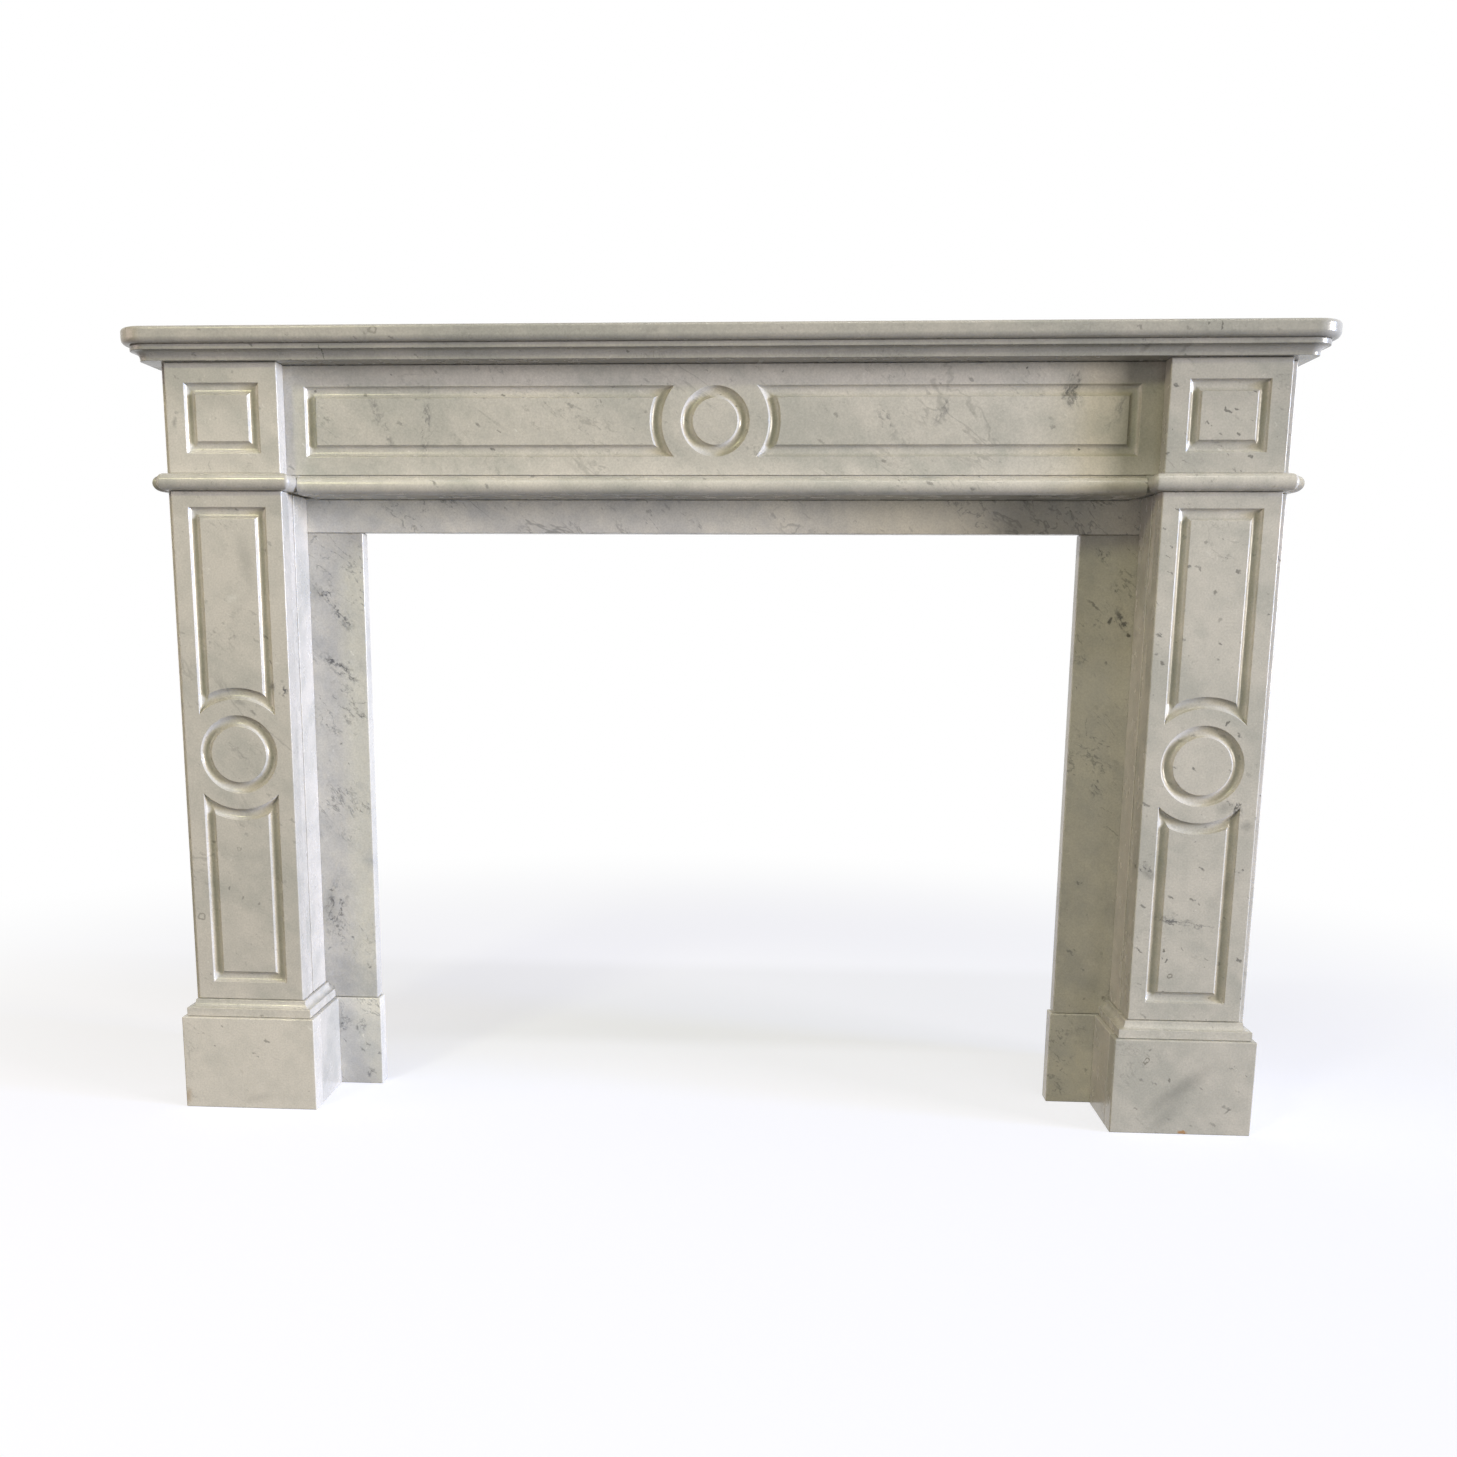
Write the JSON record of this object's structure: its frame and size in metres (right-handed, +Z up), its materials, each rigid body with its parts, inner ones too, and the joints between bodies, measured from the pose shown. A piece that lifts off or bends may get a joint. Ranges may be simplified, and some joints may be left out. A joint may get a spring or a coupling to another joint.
{
  "type": "fireplace mantel",
  "caption": "Veined white marble fireplace mantel with panelled jambs and frieze, carved roundels and a moulded shelf.",
  "frame": {"origin": "on the floor, under the middle of the whole in width and in depth", "axes": "+X along the shelf to the viewer's right, +Y back to the wall, +Z up; the carved front looks along -Y"},
  "size_m": [1.513, 0.312, 1.0273],
  "materials": {
    "white_marble": "polished, worn",
    "grey_marble": "polished, worn"
  },
  "bodies": {
    "root": {"shelf_slab": "white_marble", "shelf_bed_moulding": "white_marble", "frieze_slab": "white_marble", "frieze_bead": "white_marble", "header_slip": "grey_marble", "left_corner_block": "white_marble", "left_frieze_return": "white_marble", "left_capping_band": "white_marble", "left_jamb_front": "white_marble", "left_jamb_backing": "white_marble", "left_jamb_inner_return": "white_marble", "left_jamb_outer_return": "white_marble", "left_base_moulding": "white_marble", "left_plinth_front": "white_marble", "left_plinth_inner_return": "white_marble", "left_plinth_outer_return": "white_marble", "left_slip": "grey_marble", "left_slip_foot": "grey_marble", "right_corner_block": "white_marble", "right_frieze_return": "white_marble", "right_capping_band": "white_marble", "right_jamb_front": "white_marble", "right_jamb_backing": "white_marble", "right_jamb_inner_return": "white_marble", "right_jamb_outer_return": "white_marble", "right_base_moulding": "white_marble", "right_plinth_front": "white_marble", "right_plinth_inner_return": "white_marble", "right_plinth_outer_return": "white_marble", "right_slip": "grey_marble", "right_slip_foot": "grey_marble"}
  },
  "joints": []
}
